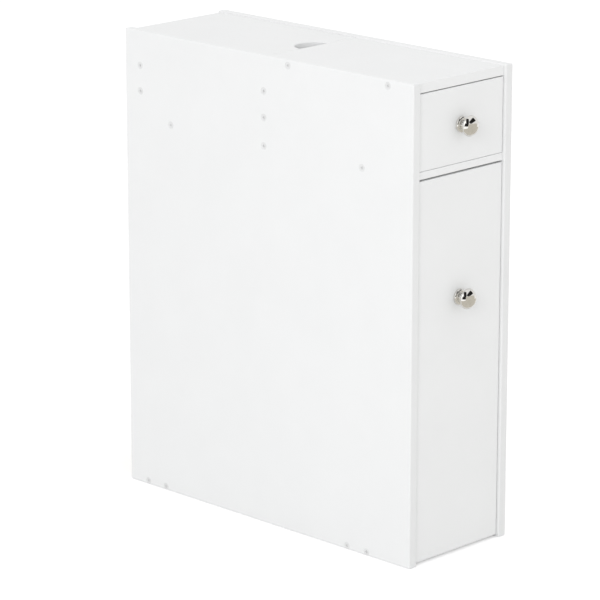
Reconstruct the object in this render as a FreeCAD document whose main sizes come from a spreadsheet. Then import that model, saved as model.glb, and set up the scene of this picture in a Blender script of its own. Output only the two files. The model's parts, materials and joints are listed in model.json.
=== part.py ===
import FreeCAD, Part

import math
import os
import re

import Sketcher
from FreeCAD import Placement, Rotation, Vector

# Narrow bathroom cabinet, millimetres.
# X runs across the cabinet, -Y is the front, +Z is up and the floor is Z = 0.
# The origin lies on the floor, midway across the cabinet and midway between knob tip and back edge.

DRIVING_SIZES = [
    # Carcass
    ("carcass_width", 170, "over both side panels"),
    ("carcass_depth", 480, "front edge to back edge of a side panel"),
    ("carcass_height", 580, "floor to top of a side panel"),
    ("side_thickness", 12, "side panel board"),
    ("side_rounding", 1.5, "rounded edges of the side panels"),
    ("edge_rounding", 0.8, "rounded edges of the other boards"),
    ("top_thickness", 12, "fixed top and lid board"),
    ("top_recess", 1, "top surface below the side panels' top edges"),
    ("front_recess", 3.5, "fronts behind the side panels' front edges"),
    # Boards between the side panels
    ("bay_height", 92, "divider shelf to the underside of the top"),
    ("divider_thickness", 9, "divider shelf board"),
    ("partition_thickness", 12, "partition behind the drawer"),
    ("partition_setback", 240, "front edge of the sides to the partition's middle"),
    ("back_board_thickness", 12, "upper back board"),
    ("back_board_inset", 20.5, "rear of the upper back board before the sides' back edges"),
    ("stretcher_thickness", 9, "bottom stretcher board"),
    ("stretcher_width", 56, "bottom stretcher, front to rear"),
    ("front_stretcher_setback", 85.5, "front edge of the sides to the front stretcher's middle"),
    ("panel_thickness", 3, "thin back panel and drawer bottom"),
    ("panel_groove_depth", 5, "groove for a thin panel"),
    ("panel_play", 0.2, "play of a thin panel in its groove"),
    ("back_panel_lift", 2, "thin back panel above the floor"),
    # Board screws
    ("screw_head_diameter", 9, "countersunk head"),
    ("screw_diameter", 4.5, "shank"),
    ("screw_length", 38, "board surface to tip"),
    ("screw_point", 4, "tapered point"),
    ("screw_sink", 0.3, "head below the board's surface"),
    ("drive_length", 4.2, "cross recess in a screw's head"),
    ("drive_width", 1, "cross recess in a screw's head"),
    ("drive_depth", 1, "cross recess in a screw's head"),
    ("seat_fit", 0.05, "gap round a screw, dowel or pin in its hole, on radius"),
    ("fixing_pitch", 32, "two screws in a narrow board"),
    ("top_fixing_front", 40, "front edge of the sides to the fixed top's first screw"),
    ("divider_fixing_front", 80, "front edge of the sides to the divider's first screw"),
    ("divider_fixing_rear", 59.5, "divider's last screw to its rear edge"),
    # Lid, its finger notch and its pivot
    ("seam_gap", 0.8, "fixed top to lid"),
    ("lid_side_gap", 1, "lid to a side panel"),
    ("lid_rear_inset", 6, "lid's rear edge before the sides' back edges"),
    ("notch_width", 48, "finger notch along the lid's front edge"),
    ("notch_depth", 23, "finger notch behind the lid's front edge"),
    ("pivot_inset", 6.5, "lid's rear edge to the pivot line"),
    ("pivot_diameter", 5, "pivot pin"),
    ("pivot_in_lid", 14, "pin seated in the lid"),
    ("pivot_fit", 0.05, "pin in its bush, on radius"),
    ("pivot_end_gap", 1, "pin's end to the end of its bush"),
    ("bush_diameter", 8, "pivot bush"),
    ("bush_length", 8, "pivot bush inside the side panel"),
    ("bush_flange_diameter", 11, "pivot bush flange"),
    ("bush_flange", 0.7, "pivot bush flange thickness"),
    # Fronts
    ("front_thickness", 12, "drawer front and pull-out front board"),
    ("front_side_gap", 0.8, "front to a side panel"),
    ("drawer_front_top_gap", 1.2, "fixed top to the drawer front"),
    ("drawer_front_bottom_gap", 0.4, "divider to the drawer front"),
    ("pullout_front_top_gap", 2.2, "divider to the pull-out front"),
    ("pullout_front_floor_gap", 3.5, "floor to the pull-out front"),
    ("pullout_knob_drop", 148.9, "pull-out front's top edge to its knob"),
    # Knob
    ("knob_projection", 23.5, "front face to the knob's tip"),
    ("knob_foot_diameter", 19.5, "foot against the front"),
    ("knob_foot_thickness", 4.2, "foot against the front"),
    ("knob_foot_round", 1.5, "rounded rim of the foot"),
    ("knob_neck_diameter", 9, "narrowest part"),
    ("knob_neck_reach", 7.2, "front face to the narrowest part"),
    ("knob_head_diameter", 25, "widest part"),
    ("knob_head_reach", 16, "front face to the widest part"),
    ("knob_rim", 1.6, "straight band round the widest part"),
    ("knob_bolt_diameter", 4, "bolt from inside the front"),
    ("knob_bolt_length", 22, "bolt under its head"),
    ("knob_bolt_head_diameter", 9, "bolt head"),
    ("knob_bolt_head", 2.4, "bolt head height"),
    # Roller runners
    ("runner_space", 12.5, "side panel to the side of a drawer box"),
    ("steel", 1.2, "runner sheet"),
    ("roller_diameter", 18, "runner roller"),
    ("roller_rim_round", 0.8, "roller's rounded rim"),
    ("roller_hub_diameter", 9, "raised hub round the axle"),
    ("roller_rim_recess", 0.6, "roller's rim behind its hub"),
    ("roller_play", 0.1, "roller to the flange that it carries or rolls on"),
    ("axle_diameter", 4, "roller axle"),
    ("axle_fit", 0.05, "roller on its axle, on radius"),
    ("axle_side_play", 0.05, "roller to shoulder and to head"),
    ("axle_shoulder_diameter", 6.5, "shoulder between runner and roller"),
    ("axle_shoulder", 1.2, "shoulder length"),
    ("axle_head_diameter", 7, "head that keeps the roller"),
    ("axle_head", 0.8, "head thickness"),
    ("roller_pass_gap", 0.7, "axle head to the passing screw heads"),
    ("flange_pass_gap", 1, "cabinet runner's lower flange to the box runner"),
    ("slide_pass_gap", 2.1, "sliding flange to the cabinet runner's web"),
    ("keeper_flange", 6.5, "cabinet runner's upper flange"),
    ("keeper_gap", 0.9, "sliding flange to the upper flange"),
    ("flange_relief", 20, "sliding flange cut away over the rear roller"),
    ("seat_flange", 10, "flange under a box's side"),
    ("seat_rise", 1.5, "seat flange above the cabinet runner's lower edge"),
    ("runner_setback", 17.5, "front edge of the sides to a cabinet runner"),
    ("runner_nose", 12, "cabinet runner's front end to its roller's axle"),
    ("runner_tail", 13, "box's rear roller to the cabinet runner's rear end"),
    ("rear_roller_setback", 9, "box's rear end to its roller's axle"),
    ("stop_height", 4, "bent tab that stops a rear roller"),
    ("stop_gap", 0.15, "rear roller to a stop"),
    ("runner_screw_diameter", 3.5, "runner screw"),
    ("runner_screw_length", 9.5, "runner screw under its head"),
    ("runner_screw_head_diameter", 7, "runner screw head"),
    ("runner_screw_head", 1.3, "runner screw head height"),
    ("runner_screw_offset", 37, "runner's front end to its first screw"),
    ("drawer_runner_screw_inset", 40, "last runner screw to the drawer box's rear end"),
    ("pullout_runner_screw_inset", 35.5, "last runner screw to the pull-out box's rear end"),
    # Drawer
    ("box_board", 12, "drawer box and pull-out boards"),
    ("drawer_runner_lift", 1.5, "divider to the cabinet runner"),
    ("drawer_rear_gap", 13.5, "drawer box to the partition"),
    ("drawer_kept_in", 70, "length of the drawer box that stays inside when open"),
    ("drawer_side_height", 60, "drawer side"),
    ("drawer_bottom_rise", 13, "side's lower edge to the drawer bottom"),
    ("drawer_screw_pitch", 22, "between the two screws in a drawer side"),
    # Pull-out
    ("pullout_runner_lift", 4, "stretchers to the cabinet runner"),
    ("pullout_rear_gap", 7.5, "pull-out's rear board to the thin back panel"),
    ("pullout_kept_in", 99.5, "length of the pull-out box that stays inside when open"),
    ("pullout_side_height", 74, "pull-out's lower side"),
    ("pullout_back_drop", 34, "divider to the top of the pull-out's rear board"),
    ("pullout_shelf_share", 0.52, "height of the pull-out's shelf as a share of the divider's"),
    ("pullout_rail_height", 44, "guard rail on the shelf"),
    ("shelf_fixing_gap", 18, "cam nut to the next screw or dowel in a shelf's end"),
    ("long_fixing_front", 100, "front board to the first screw along a box"),
    ("long_fixing_rear", 124.5, "last screw along a box to its rear end"),
    # Dowels and cam fittings behind the fronts
    ("dowel_diameter", 6, "wooden dowel"),
    ("dowel_in_front", 8, "dowel in the front board"),
    ("dowel_in_side", 16, "dowel in the board behind it"),
    ("dowel_chamfer", 0.8, "dowel ends"),
    ("dowel_rise", 26, "side's lower edge to its dowel"),
    ("rail_dowel_rise", 10, "rail's lower edge to its dowel"),
    ("cam_diameter", 12, "cam nut"),
    ("cam_depth", 9, "cam nut"),
    ("cam_setback", 24, "front board to the cam nut's middle"),
    ("cam_edge", 14.5, "board's edge to its cam nut's middle"),
    ("cam_slot_width", 1.4, "screwdriver slot"),
    ("cam_slot_depth", 1.5, "screwdriver slot"),
    ("cam_bolt_diameter", 5, "cam bolt"),
    ("cam_bolt_neck_diameter", 3, "waist that the cam nut grips"),
    ("cam_bolt_neck_length", 3, "waist that the cam nut grips"),
    ("cam_bolt_in_front", 9, "cam bolt screwed into the front board"),
    ("cam_bolt_overreach", 2.5, "cam bolt past the cam nut's middle"),
    ("overrun", 2, "how far a cutting shape runs past the surface that it cuts"),
]

DERIVED_SIZES = [
    ("inner_width", "carcass_width - 2 * side_thickness"),
    ("inner_face", "inner_width / 2"),
    ("front_plane", "(knob_projection - front_recess - carcass_depth) / 2"),
    ("back_plane", "front_plane + carcass_depth"),
    ("front_face", "front_plane + front_recess"),
    ("front_back", "front_face + front_thickness"),
    ("top_underside", "carcass_height - top_recess - top_thickness"),
    ("divider_top", "top_underside - bay_height"),
    ("divider_underside", "divider_top - divider_thickness"),
    ("partition_middle", "front_plane + partition_setback"),
    ("back_board_rear", "back_plane - back_board_inset"),
    ("back_board_middle", "back_board_rear - back_board_thickness / 2"),
    ("top_fixing_rear", "partition_setback - top_fixing_front"),
    ("divider_fixing_pitch", "(carcass_depth - back_board_inset - divider_fixing_rear"
                             " - divider_fixing_front) / 2"),
    ("front_stretcher_middle", "front_plane + front_stretcher_setback"),
    ("rear_stretcher_middle", "back_board_rear - stretcher_width / 2"),
    ("lid_front", "partition_middle + seam_gap / 2"),
    ("lid_rear", "back_plane - lid_rear_inset"),
    ("lid_half_width", "inner_face - lid_side_gap"),
    ("notch_radius", "(notch_width ^ 2 / 4 + notch_depth ^ 2) / (2 * notch_depth)"),
    ("pivot_y", "lid_rear - pivot_inset"),
    ("pivot_z", "top_underside + top_thickness / 2"),
    ("front_half_width", "inner_face - front_side_gap"),
    ("drawer_front_base", "divider_top + drawer_front_bottom_gap"),
    ("drawer_front_height", "bay_height - drawer_front_bottom_gap - drawer_front_top_gap"),
    ("pullout_front_top", "divider_underside - pullout_front_top_gap"),
    ("drawer_knob_height", "drawer_front_base + drawer_front_height / 2"),
    ("pullout_knob_height", "pullout_front_top - pullout_knob_drop"),
    ("knob_rim_back", "knob_head_reach - knob_rim / 2"),
    ("knob_rim_front", "knob_head_reach + knob_rim / 2"),
    ("knob_crown", "knob_projection - knob_rim_front"),
    ("knob_crown_radius", "(knob_head_diameter ^ 2 / 4 + knob_crown ^ 2) / (2 * knob_crown)"),
    ("knob_flare", "(knob_head_diameter - knob_neck_diameter) / 2"),
    ("knob_flare_radius", "(knob_flare ^ 2 + (knob_rim_back - knob_neck_reach) ^ 2) / (2 * knob_flare)"),
    ("knob_cove", "(knob_foot_diameter - knob_neck_diameter) / 2 - knob_foot_round"),
    ("knob_cove_radius", "(knob_cove ^ 2 + (knob_neck_reach - knob_foot_thickness) ^ 2) / (2 * knob_cove)"),
    ("roller_radius", "roller_diameter / 2"),
    ("roller_near", "steel + axle_shoulder + axle_side_play"),
    ("roller_width", "runner_space - steel - roller_near - axle_side_play - axle_head"
                     " - roller_pass_gap - runner_screw_head"),
    ("axle_rise", "steel + roller_play + roller_radius"),
    ("sliding_rise", "axle_rise + roller_radius + roller_play"),
    ("outer_flange", "runner_space - steel - flange_pass_gap"),
    ("outer_runner_height", "sliding_rise + steel + keeper_gap + steel"),
    ("box_rise", "seat_rise + steel"),
    ("box_half_width", "inner_face - runner_space"),
    ("box_inside", "box_half_width - box_board"),
    ("box_side_middle", "box_half_width - box_board / 2"),
    ("runner_start", "front_plane + runner_setback"),
    ("front_roller_y", "runner_start + runner_nose"),
    ("stop_reach", "sqrt(roller_radius ^ 2 - (roller_radius - stop_height) ^ 2) + stop_gap"),
    ("drawer_runner_base", "divider_top + drawer_runner_lift"),
    ("drawer_box_base", "drawer_runner_base + box_rise"),
    ("drawer_box_rear", "partition_middle - partition_thickness / 2 - drawer_rear_gap"),
    ("drawer_box_length", "drawer_box_rear - front_back"),
    ("drawer_runner_pitch", "drawer_box_length - runner_screw_offset - drawer_runner_screw_inset"),
    ("drawer_travel", "drawer_box_length - drawer_kept_in"),
    ("drawer_rear_roller_y", "drawer_box_rear - rear_roller_setback"),
    ("pullout_runner_base", "stretcher_thickness + pullout_runner_lift"),
    ("pullout_box_base", "pullout_runner_base + box_rise"),
    ("pullout_box_rear", "back_board_rear - pullout_rear_gap - box_board"),
    ("pullout_box_length", "pullout_box_rear - front_back"),
    ("pullout_runner_pitch", "(pullout_box_length - runner_screw_offset - pullout_runner_screw_inset) / 2"),
    ("long_fixing_pitch", "pullout_box_length - long_fixing_front - long_fixing_rear"),
    ("shelf_fixing_place", "box_half_width - cam_edge - shelf_fixing_gap"),
    ("pullout_travel", "pullout_box_length - pullout_kept_in"),
    ("pullout_rear_roller_y", "pullout_box_rear - rear_roller_setback"),
    ("pullout_back_height", "divider_underside - pullout_back_drop - pullout_box_base"),
    ("pullout_shelf_base", "divider_underside * pullout_shelf_share"),
    ("pullout_rail_base", "pullout_shelf_base + box_board"),
]

# The screws that hold each runner, front to rear
RUNNER_SCREWS = {"drawer": ("front", "rear"), "pullout": ("front", "middle", "rear")}

# Turns that carry a fitting's own +Z axis to another direction
ALONG_PLUS_X = Rotation(Vector(0, 1, 0), 90)
ALONG_MINUS_X = Rotation(Vector(0, 1, 0), -90)
ALONG_PLUS_Y = Rotation(Vector(1, 0, 0), -90)
ALONG_MINUS_Y = Rotation(Vector(1, 0, 0), 90)
NO_TURN = Rotation()

doc = FreeCAD.newDocument("narrow_bathroom_cabinet")
sheet = doc.addObject("Spreadsheet::Sheet", "sizes")
workings = doc.addObject("Spreadsheet::Sheet", "workings")
ALIASES = {row[0] for row in DRIVING_SIZES + DERIVED_SIZES}
SUB_PARTS = []


def fill_sheet():
    """Writes every size into the sheet: the driving ones as numbers, the others as formulas."""
    row = 0
    for alias, number, note in DRIVING_SIZES:
        row += 1
        sheet.set(f"A{row}", note)
        sheet.set(f"B{row}", str(number))
        sheet.setAlias(f"B{row}", alias)
    for alias, formula in DERIVED_SIZES:
        row += 1
        sheet.set(f"A{row}", alias.replace("_", " "))
        sheet.set(f"B{row}", "=" + formula)
        sheet.setAlias(f"B{row}", alias)
    doc.recompute()


def with_sheet(formula):
    """The formula as other objects write it, with each alias looked up in the sheet."""
    return re.sub(r"[a-z]\w*", lambda word: "sizes." + word[0] if word[0] in ALIASES else word[0], formula)


def value(formula):
    """The number that a formula stands for now."""
    workings.set("A1", "=" + with_sheet(formula))
    workings.recompute()
    return float(workings.get("A1"))


def bind(item, **formulas):
    for name, formula in formulas.items():
        item.setExpression(name, with_sheet(formula))


def place(item, x="0", y="0", z="0", turn=NO_TURN):
    item.Placement = Placement(Vector(value(x), value(y), value(z)), turn)
    for axis, formula in zip("xyz", (x, y, z)):
        item.setExpression("Placement.Base." + axis, with_sheet(formula))
    return item


def sub_part(label, item):
    item.Label = label
    SUB_PARTS.append(item)
    return item


def attached_sketch(body, name, role):
    sketch = body.newObject("Sketcher::SketchObject", name)
    plane = [feature for feature in body.Origin.OriginFeatures if feature.Role == role][0]
    sketch.AttachmentSupport = [(plane, "")]
    sketch.MapMode = "FlatFace"
    return sketch


def fix_point(sketch, edge, end, x, y):
    """Ties one end of an edge to the sketch's origin by two formulas."""
    for kind, formula, axis in (("DistanceX", x, -2), ("DistanceY", y, -1)):
        if formula == "0":
            sketch.addConstraint(Sketcher.Constraint("PointOnObject", edge, end, axis))
            continue
        index = sketch.addConstraint(Sketcher.Constraint(kind, -1, 1, edge, end, value(formula)))
        sketch.setExpression(f"Constraints[{index}]", with_sheet(formula))


def arc_between(start, end, radius, side):
    """A short arc whose centre lies to the left (side 1) or right (side -1) of the way to its end."""
    chord = end - start
    rise = math.sqrt(max(radius ** 2 - chord.Length ** 2 / 4, 0))
    left = Vector(-chord.y, chord.x, 0).normalize()
    centre = (start + end) / 2 + left * rise * side
    angles = [math.atan2(point.y - centre.y, point.x - centre.x) for point in (start, end)]
    return Part.ArcOfCircle(Part.Circle(centre, Vector(0, 0, 1), radius), *angles[::side])


def draw_outline(sketch, corners, arcs):
    """A closed outline through the corners. arcs gives some edges' numbers a radius and a side."""
    points = [Vector(value(x), value(y), 0) for x, y in corners]
    ends = []
    for number, start in enumerate(points):
        end = points[(number + 1) % len(points)]
        if number in arcs:
            radius, side = arcs[number]
            edge = sketch.addGeometry(arc_between(start, end, value(radius), side), False)
            index = sketch.addConstraint(Sketcher.Constraint("Radius", edge, value(radius)))
            sketch.setExpression(f"Constraints[{index}]", with_sheet(radius))
            ends.append((edge, 1, 2) if side > 0 else (edge, 2, 1))
        else:
            edge = sketch.addGeometry(Part.LineSegment(start, end), False)
            ends.append((edge, 1, 2))
    for number, (edge, _, last) in enumerate(ends):
        following, first, _ = ends[(number + 1) % len(ends)]
        sketch.addConstraint(Sketcher.Constraint("Coincident", edge, last, following, first))
    for (edge, first, _), (x, y) in zip(ends, corners):
        fix_point(sketch, edge, first, x, y)


def padded_body(name, role, corners, length, arcs={}, backwards=False):
    body = doc.addObject("PartDesign::Body", name)
    sketch = attached_sketch(body, name + "_outline", role)
    draw_outline(sketch, corners, arcs)
    pad = body.newObject("PartDesign::Pad", name + "_pad")
    pad.Profile = sketch
    pad.Reversed = backwards
    bind(pad, Length=length)
    doc.recompute()
    return body


def turned_body(name, corners, arcs={}):
    """A piece turned about its own Z axis, from an outline in radius and height."""
    body = doc.addObject("PartDesign::Body", name)
    sketch = attached_sketch(body, name + "_outline", "XZ_Plane")
    draw_outline(sketch, corners, arcs)
    turning = body.newObject("PartDesign::Revolution", name + "_turning")
    turning.Profile = sketch
    turning.ReferenceAxis = (sketch, ["V_Axis"])
    doc.recompute()
    return body


def lies_on(edge, box, faces):
    """True where an edge lies on every named face of a shape's box, such as -y or -x-z."""
    tolerance = box.DiagonalLength * 1e-6
    for sign, letter in zip(faces[::2], faces[1::2].upper()):
        limit = getattr(box, letter + ("Min" if sign == "-" else "Max"))
        if any(abs(getattr(vertex, letter) - limit) > tolerance for vertex in edge.Vertexes):
            return False
    return True


def soften(body, chosen, radius="edge_rounding"):
    """Rounds the edges of a body that lie on the chosen faces."""
    feature = body.Tip
    edges = []
    for number, edge in enumerate(feature.Shape.Edges, 1):
        if any(lies_on(edge, feature.Shape.BoundBox, faces) for faces in chosen):
            edges.append(f"Edge{number}")
    fillet = body.newObject("PartDesign::Fillet", body.Name + "_rounding")
    fillet.Base = (feature, edges)
    bind(fillet, Radius=radius)
    doc.recompute()


def board(name, x, y, z, rounded=(), radius="edge_rounding"):
    """A flat board. x, y and z each give its low side and its extent."""
    corners = [("0", "0"), (x[1], "0"), (x[1], y[1]), ("0", y[1])]
    body = padded_body(name, "XY_Plane", corners, z[1])
    if rounded:
        soften(body, rounded, radius)
    return place(body, x[0], y[0], z[0])


def block(name, x, y, z):
    """A plain cutting block or tab, given like a board."""
    item = doc.addObject("Part::Box", name)
    bind(item, Length=x[1], Width=y[1], Height=z[1])
    return place(item, x[0], y[0], z[0])


def group(name, items):
    item = doc.addObject("Part::Compound", name)
    item.Links = items
    return item


def cut(name, base, *tools):
    item = doc.addObject("Part::Cut", name)
    item.Base = base
    item.Tool = tools[0] if len(tools) == 1 else group(name + "_tools", tools)
    return item


def fuse(name, items):
    item = doc.addObject("Part::MultiFuse", name)
    item.Shapes = items
    return item


def mirrored(name, source):
    """The right-hand twin of a left-hand piece."""
    item = doc.addObject("Part::Mirroring", name)
    item.Source = source
    item.Base = Vector(0, 0, 0)
    item.Normal = Vector(1, 0, 0)
    return item


def copies(name, master, places, turn):
    """The same fitting at several places, all turned alike."""
    items = []
    for number, spot in enumerate(places, 1):
        item = doc.addObject("App::Link", f"{name}_{number}")
        item.LinkedObject = master
        items.append(place(item, *spot, turn))
    return group(name, items)


def in_pairs(name, masters, places, turn):
    """Fittings and the holes that they fill, at left-hand places and at their right-hand twins."""
    both_sides = []
    for master, part_name in zip(masters, (name + "_left", name + "_holes_left")):
        left = copies(part_name, master, places, turn)
        both_sides.append(group(part_name + "_right", [left, mirrored(part_name + "_twin", left)]))
    return both_sides


def left_and_right(kind, piece, left):
    """Names a left-hand piece and its right-hand twin."""
    sub_part(f"{kind}_left_{piece}", left)
    sub_part(f"{kind}_right_{piece}", mirrored(f"{kind}_right_{piece}", left))


def rod(name, radius, low, high):
    return turned_body(name, [("0", low), (radius, low), (radius, high), ("0", high)])


def with_recess(name, screw, surface):
    """The screw with a cross recess sunk into its head from the height of the head's surface."""
    long = ("-drive_length / 2", "drive_length")
    narrow = ("-drive_width / 2", "drive_width")
    depth = (f"{surface} - overrun", "overrun + drive_depth")
    bars = [block(name + "_bar", long, narrow, depth), block(name + "_cross_bar", narrow, long, depth)]
    return cut(name, screw, fuse(name + "_recess", bars))


def countersunk_screw():
    """A board screw and the hole that it fills, both from the board's surface inwards."""
    head = "screw_head_diameter / 2"
    shank = "screw_diameter / 2"
    neck = f"screw_sink + {head} - {shank}"
    blank = turned_body("board_screw_blank", [
        ("0", "screw_sink"), (head, "screw_sink"), (shank, neck),
        (shank, "screw_length - screw_point"), ("0", "screw_length")])
    wide_head = head + " + seat_fit"
    wide_shank = shank + " + seat_fit"
    depth = "screw_length + seat_fit"
    hole = turned_body("board_screw_hole", [
        ("0", "-overrun"), (wide_head, "-overrun"), (wide_head, "screw_sink"), (wide_shank, neck),
        (wide_shank, depth), ("0", depth)])
    return with_recess("board_screw", blank, "screw_sink"), hole


def pan_head_screw(name):
    """A domed screw whose head stands on the surface at height 0, and the hole for its shank."""
    shank = f"{name}_diameter / 2"
    wide = f"{name}_head_diameter / 2"
    height = f"{name}_head"
    crown = f"{wide} - {height} / 2"
    length = f"{name}_length"
    blank = turned_body(name + "_blank", [
        ("0", f"-{height}"), (crown, f"-{height}"), (wide, f"-{height} / 2"), (wide, "0"),
        (shank, "0"), (shank, length), ("0", length)], {1: (f"{height} / 2", 1)})
    hole = rod(name + "_hole", f"{shank} + seat_fit", "-overrun", f"{length} + seat_fit")
    return with_recess(name, blank, f"-{height}"), hole


def knob_master():
    """The turned knob, standing on the front's face at height 0."""
    foot = "knob_foot_diameter / 2"
    foot_top = f"{foot} - knob_foot_round"
    neck = "knob_neck_diameter / 2"
    head = "knob_head_diameter / 2"
    return turned_body("knob", [
        ("0", "0"), (foot, "0"), (foot, "knob_foot_thickness - knob_foot_round"),
        (foot_top, "knob_foot_thickness"), (neck, "knob_neck_reach"), (head, "knob_rim_back"),
        (head, "knob_rim_front"), ("0", "knob_projection")],
        {2: ("knob_foot_round", 1), 3: ("knob_cove_radius", -1), 4: ("knob_flare_radius", -1),
         6: ("knob_crown_radius", 1)})


def roller_masters():
    """The roller, its riveted axle and the axle's hole, all from the sheet's outer face at height 0."""
    shank = "axle_diameter / 2"
    shoulder = "axle_shoulder_diameter / 2"
    head = "axle_head_diameter / 2"
    shoulder_end = "steel + axle_shoulder"
    far = "roller_near + roller_width"
    head_start = f"{far} + axle_side_play"
    head_end = f"{head_start} + axle_head"
    axle = turned_body("axle", [
        ("0", "0"), (shank, "0"), (shank, "steel"), (shoulder, "steel"), (shoulder, shoulder_end),
        (shank, shoulder_end), (shank, head_start), (head, head_start), (head, head_end), ("0", head_end)])
    hole = rod("axle_hole", f"{shank} + seat_fit", "-overrun", "steel + overrun")
    bore = f"{shank} + axle_fit"
    hub = "roller_hub_diameter / 2"
    rim = "roller_radius - roller_rim_round"
    near_rim = "roller_near + roller_rim_recess"
    far_rim = f"{far} - roller_rim_recess"
    roller = turned_body("roller", [
        (bore, "roller_near"), (hub, "roller_near"), (hub, near_rim), (rim, near_rim),
        ("roller_radius", f"{near_rim} + roller_rim_round"), ("roller_radius", f"{far_rim} - roller_rim_round"),
        (rim, far_rim), (hub, far_rim), (hub, far), (bore, far)],
        {3: ("roller_rim_round", 1), 5: ("roller_rim_round", 1)})
    return roller, axle, hole


def dowel():
    """A dowel and its hole, from the joint between front and box at height 0."""
    radius = "dowel_diameter / 2"
    end = f"{radius} - dowel_chamfer"
    low = "-dowel_in_front"
    high = "dowel_in_side"
    pin = turned_body("dowel", [
        ("0", low), (end, low), (radius, f"{low} + dowel_chamfer"), (radius, f"{high} - dowel_chamfer"),
        (end, high), ("0", high)])
    return pin, rod("dowel_hole", f"{radius} + seat_fit", f"{low} - seat_fit", f"{high} + seat_fit")


def cam_bolt():
    """A waisted cam bolt and its hole, from the joint between front and box at height 0."""
    radius = "cam_bolt_diameter / 2"
    waist = "cam_bolt_neck_diameter / 2"
    end = "cam_setback + cam_bolt_overreach"
    waist_start = "cam_setback - cam_bolt_neck_length"
    bolt = turned_body("cam_bolt", [
        ("0", "-cam_bolt_in_front"), (radius, "-cam_bolt_in_front"), (radius, waist_start),
        (waist, waist_start), (waist, "cam_setback"), (radius, "cam_setback"), (radius, end), ("0", end)])
    hole = rod("cam_bolt_hole", f"{radius} + seat_fit", "-cam_bolt_in_front - seat_fit", f"{end} + seat_fit")
    return bolt, hole


def cam_nut():
    """A slotted cam nut and its hole, from the board's surface inwards."""
    radius = "cam_diameter / 2"
    barrel = rod("cam_nut_barrel", radius, "0", "cam_depth")
    slot = block("cam_nut_slot", ("-cam_diameter", "2 * cam_diameter"),
                 ("-cam_slot_width / 2", "cam_slot_width"), ("-overrun", "overrun + cam_slot_depth"))
    hole = rod("cam_nut_hole", f"{radius} + seat_fit", "-overrun", "cam_depth + seat_fit")
    return cut("cam_nut", barrel, slot), hole


def make_carcass_screws(masters):
    """The board screws through both side panels. Returns their holes."""
    surface = "-carcass_width / 2"
    half = "fixing_pitch / 2"
    bay_middle = "divider_top + bay_height / 2"
    places = []
    for depth in ("top_fixing_front", "top_fixing_rear"):
        places.append((surface, "front_plane + " + depth, "top_underside + top_thickness / 2"))
    for step in range(3):
        depth = f"front_plane + divider_fixing_front + {step} * divider_fixing_pitch"
        places.append((surface, depth, "divider_underside + divider_thickness / 2"))
    for sign in "-+":
        for depth in ("partition_middle", "back_board_middle"):
            places.append((surface, depth, f"{bay_middle} {sign} {half}"))
        for depth in ("front_stretcher_middle", "rear_stretcher_middle"):
            places.append((surface, f"{depth} {sign} {half}", "stretcher_thickness / 2"))
    screws, holes = in_pairs("carcass_screws", masters, places, ALONG_PLUS_X)
    sub_part("carcass_screws", screws)
    return holes


def make_outer_runner(kind, screw_masters, axle_hole):
    """The cabinet's half of a pair of runners. Returns its screws and their holes."""
    base = f"{kind}_runner_base"
    roller_y = f"{kind}_rear_roller_y"
    upper = "outer_runner_height - steel"
    channel = padded_body(f"{kind}_channel", "XZ_Plane", [
        ("0", "0"), ("outer_flange", "0"), ("outer_flange", "steel"), ("steel", "steel"), ("steel", upper),
        ("keeper_flange", upper), ("keeper_flange", "outer_runner_height"), ("0", "outer_runner_height")],
        f"{roller_y} + runner_tail - runner_start", backwards=True)
    soften(channel, ("-x-z", "-x+z"), "steel")
    place(channel, "-inner_face", "runner_start", base)
    across = ("outer_flange - roller_width - inner_face", "roller_width - steel")
    up = (f"{base} + steel / 2", "stop_height + steel / 2")
    open_stop = block(f"{kind}_open_stop", across,
                      (f"{roller_y} - {kind}_travel - stop_reach - steel", "steel"), up)
    closed_stop = block(f"{kind}_closed_stop", across, (f"{roller_y} + stop_reach", "steel"), up)
    folded = fuse(f"{kind}_outer_runner", [channel, open_stop, closed_stop])
    places = []
    for step in range(len(RUNNER_SCREWS[kind])):
        along = f"runner_start + runner_screw_offset + {step} * {kind}_runner_pitch"
        places.append(("steel - inner_face", along, f"{base} + axle_rise"))
    screws, holes = in_pairs(f"{kind}_outer_screws", screw_masters, places, ALONG_MINUS_X)
    axle_spot = [("-inner_face", "front_roller_y", f"{base} + axle_rise")]
    axle_holes = copies(f"{kind}_outer_axle_hole", axle_hole, axle_spot, ALONG_PLUS_X)
    left_and_right(kind, "outer_runner", cut(f"{kind}_left_outer_runner", folded, holes, axle_holes))
    return screws, holes


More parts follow.
